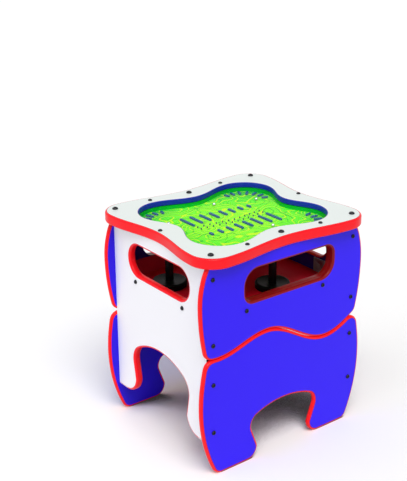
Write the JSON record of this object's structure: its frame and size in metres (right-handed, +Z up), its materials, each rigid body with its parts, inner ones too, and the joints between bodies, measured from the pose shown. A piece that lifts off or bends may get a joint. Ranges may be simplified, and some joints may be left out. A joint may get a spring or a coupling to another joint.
{
  "type": "activity table",
  "caption": "Waisted play table for toddlers: magnetic wands slide behind hand openings and roll steel balls over chime bars under a clear window.",
  "frame": {"origin": "on the floor, under the middle of the top", "axes": "+Z up; the wavy front panel faces -Y and the side panels with the high arches face +X and -X"},
  "size_m": [0.49, 0.444, 0.5452],
  "materials": {
    "purple_laminate": "birch plywood faced with glossy purple-blue laminate, edges sealed red",
    "purple_inner": "birch plywood faced with purple-blue laminate",
    "white_laminate": "birch plywood faced with smooth white laminate, edges painted red",
    "red_paint": "birch plywood painted glossy red",
    "clear_acrylic": "clear polished sheet",
    "lime_board": "board with a printed green face that fades to lime in the middle",
    "blue_bars": "blue gloss",
    "green_pins": "dark green gloss",
    "zinc_screws": "zinc plated",
    "hanger_steel": "plain strap steel",
    "insert_brass": "plain",
    "black_screws": "black oxide",
    "ball_steel": "polished",
    "magnet_nickel": "nickel plated",
    "felt": "pressed felt",
    "black_post": "black gloss",
    "black_plastic": "moulded, smooth"
  },
  "bodies": {
    "table": {"top_board": "white_laminate", "tray_frame": "red_paint", "window": "clear_acrylic", "play_board": "lime_board", "chime_bars": "blue_bars", "chime_pins": "green_pins", "tray_screws": "zinc_screws", "top_bolts": "black_screws", "top_inserts": "insert_brass", "top_screws": "black_screws", "front_upper_panel": "purple_laminate", "front_lower_panel": "purple_laminate", "back_upper_panel": "purple_laminate", "back_lower_panel": "purple_laminate", "left_panel": "white_laminate", "right_panel": "white_laminate", "front_liner": "purple_inner", "back_liner": "purple_inner", "front_screws": "black_screws", "back_screws": "black_screws", "liner_screws": "black_screws", "shelf": "red_paint", "shelf_hangers": "hanger_steel", "hanger_screws": "black_screws", "shelf_screws": "zinc_screws"},
    "left_wand": {"left_wand_base": "black_plastic", "left_wand_glide": "felt", "left_wand_post": "black_post", "left_wand_head": "black_plastic", "left_wand_magnet": "magnet_nickel"},
    "left_ball_body": {"left_ball": "ball_steel"},
    "right_wand": {"right_wand_base": "black_plastic", "right_wand_glide": "felt", "right_wand_post": "black_post", "right_wand_head": "black_plastic", "right_wand_magnet": "magnet_nickel"},
    "right_ball_body": {"right_ball": "ball_steel"},
    "front_wand": {"front_wand_base": "black_plastic", "front_wand_glide": "felt", "front_wand_post": "black_post", "front_wand_head": "black_plastic", "front_wand_magnet": "magnet_nickel"},
    "front_ball_body": {"front_ball": "ball_steel"},
    "back_wand": {"back_wand_base": "black_plastic", "back_wand_glide": "felt", "back_wand_post": "black_post", "back_wand_head": "black_plastic", "back_wand_magnet": "magnet_nickel"},
    "back_ball_body": {"back_ball": "ball_steel"}
  },
  "joints": [
    {"name": "left_wand_slide", "type": "slide", "parent": "table", "child": "left_wand", "axis": [0, 1, 0], "range_m": [-0.074, 0.048]},
    {"name": "left_ball_roll", "type": "slide", "parent": "table", "child": "left_ball_body", "axis": [0, 1, 0], "range_m": [-0.074, 0.048]},
    {"name": "right_wand_slide", "type": "slide", "parent": "table", "child": "right_wand", "axis": [0, 1, 0], "range_m": [-0.196, 0.04]},
    {"name": "right_ball_roll", "type": "slide", "parent": "table", "child": "right_ball_body", "axis": [0, 1, 0], "range_m": [-0.196, 0.04]},
    {"name": "front_wand_slide", "type": "slide", "parent": "table", "child": "front_wand", "axis": [1, 0, 0], "range_m": [-0.198, 0.002]},
    {"name": "front_ball_roll", "type": "slide", "parent": "table", "child": "front_ball_body", "axis": [1, 0, 0], "range_m": [-0.198, 0.002]},
    {"name": "back_wand_slide", "type": "slide", "parent": "table", "child": "back_wand", "axis": [1, 0, 0], "range_m": [-0.08, 0.02]},
    {"name": "back_ball_roll", "type": "slide", "parent": "table", "child": "back_ball_body", "axis": [1, 0, 0], "range_m": [-0.08, 0.02]}
  ],
  "couplings": [
    {"joint": "left_ball_roll", "follows": "left_wand_slide", "ratio": 1},
    {"joint": "right_ball_roll", "follows": "right_wand_slide", "ratio": 1},
    {"joint": "front_ball_roll", "follows": "front_wand_slide", "ratio": 1},
    {"joint": "back_ball_roll", "follows": "back_wand_slide", "ratio": 1}
  ]
}
